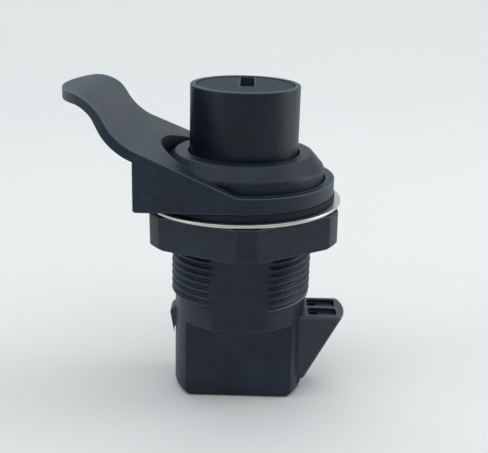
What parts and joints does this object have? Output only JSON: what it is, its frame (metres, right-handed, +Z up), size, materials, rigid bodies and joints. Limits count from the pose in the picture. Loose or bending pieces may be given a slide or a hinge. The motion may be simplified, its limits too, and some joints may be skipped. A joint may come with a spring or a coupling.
{
  "type": "pushbutton latch",
  "caption": "Black push-button slam latch with a threaded double-D barrel, hexagon nut, curved finger pull and a sloping spring bolt at its foot.",
  "frame": {"origin": "centre of the housing's flat base, on the barrel's axis", "axes": "+Z up the barrel towards the button, +X the way the bolt leaves the housing, and the finger pull reaches out along -X"},
  "size_m": [0.0764, 0.0538, 0.0852],
  "materials": {
    "glass_filled_nylon": "black, fine moulded grain, satin",
    "acetal": "black, smooth, satin",
    "nitrile_rubber": "black, matt",
    "zinc_plated_steel": "bright zinc plate",
    "spring_steel": "drawn wire"
  },
  "bodies": {
    "body": {"housing": "glass_filled_nylon", "handle": "glass_filled_nylon", "flange_seal": "nitrile_rubber", "panel_gasket": "nitrile_rubber", "washer": "zinc_plated_steel", "hex_nut": "glass_filled_nylon", "spring_seat": "zinc_plated_steel", "return_spring": "spring_steel", "bolt_spring": "spring_steel"},
    "press": {"button": "glass_filled_nylon", "button_seal": "nitrile_rubber", "button_spring": "spring_steel", "plunger": "acetal"},
    "lock": {"lock_plug": "glass_filled_nylon", "plug_seal": "nitrile_rubber", "plug_clip": "zinc_plated_steel", "drive_tongue": "zinc_plated_steel", "tongue_washer": "zinc_plated_steel", "tongue_screw": "zinc_plated_steel"},
    "slide": {"bolt": "acetal"}
  },
  "joints": [
    {"name": "button_press", "type": "slide", "parent": "body", "child": "press", "axis": [0, 0, -1], "range_m": [0, 0.012], "stiffness_N_per_m": 450, "springref_m": -0.006, "deforming": ["return_spring"]},
    {"name": "bolt_slide", "type": "slide", "parent": "body", "child": "slide", "axis": [-1, 0, 0], "range_m": [0, 0.0111], "stiffness_N_per_m": 200, "springref_m": -0.006, "deforming": ["bolt_spring"]},
    {"name": "lock_turn", "type": "hinge", "parent": "press", "child": "lock", "pos_m": [0, 0, 0.083], "axis": [0, 0, 1], "range_deg": [0, 90]}
  ],
  "couplings": [
    {"joint": "bolt_slide", "follows": "button_press", "ratio": 0.925}
  ]
}
